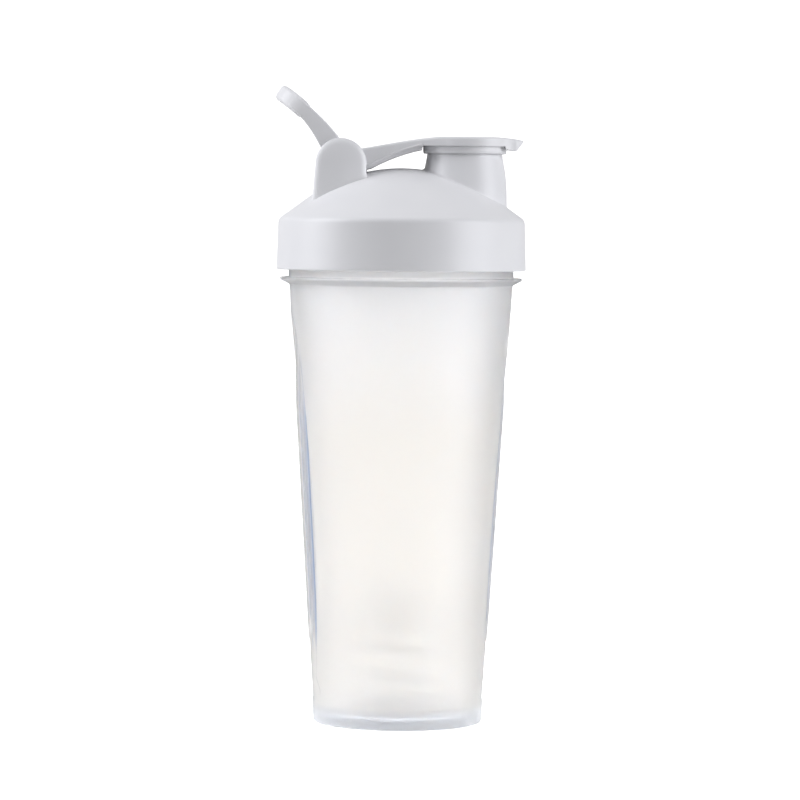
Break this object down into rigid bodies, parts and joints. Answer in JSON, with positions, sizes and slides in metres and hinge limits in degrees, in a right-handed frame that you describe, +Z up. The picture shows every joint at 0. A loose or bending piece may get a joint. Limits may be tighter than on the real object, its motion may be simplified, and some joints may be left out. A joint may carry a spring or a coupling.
{
  "type": "shaker bottle",
  "caption": "Tapered frosted shaker bottle with a domed screw lid, side spout under a hinged flip cap, raised carry loop and a loose wire whisk ball inside.",
  "frame": {"origin": "centre of the foot, on the surface that the bottle stands on", "axes": "+Z up along the bottle's axis, +X towards the spout, +Y across the hinge pin"},
  "size_m": [0.0942, 0.0936, 0.2385],
  "materials": {
    "frosted_bottle": "frosted translucent",
    "white_plastic": "satin",
    "soft_seal": "matte",
    "steel": "polished wire"
  },
  "bodies": {
    "bottle": {"bottle_body": "frosted_bottle"},
    "gasket": {"lid_gasket": "soft_seal"},
    "lid": {"lid": "white_plastic", "hinge_pin": "steel"},
    "cap": {"flip_cap": "white_plastic", "spout_plug": "soft_seal"},
    "loop": {"carry_loop": "white_plastic"},
    "whisk": {"whisk_ball": "steel"}
  },
  "joints": [
    {"name": "lid_lift", "type": "slide", "parent": "bottle", "child": "gasket", "axis": [0, 0, 1], "range_m": [0, 0.00751]},
    {"name": "lid_turn", "type": "hinge", "parent": "gasket", "child": "lid", "pos_m": [0, 0, 0.185], "axis": [0, 0, 1], "range_deg": [0, 450]},
    {"name": "cap_flip", "type": "hinge", "parent": "lid", "child": "cap", "pos_m": [-0.0227, 0, 0.2095], "axis": [0, -1, 0], "range_deg": [0, 92]},
    {"name": "loop_swing", "type": "hinge", "parent": "lid", "child": "loop", "pos_m": [-0.0227, 0, 0.2095], "axis": [0, -1, 0], "range_deg": [0, 80]},
    {"name": "ball_travel", "type": "slide", "parent": "bottle", "child": "whisk", "axis": [0, 0, 1], "range_m": [0, 0.155]}
  ],
  "couplings": [
    {"joint": "lid_lift", "follows": "lid_turn", "m_per_rad": 0.00095493}
  ]
}
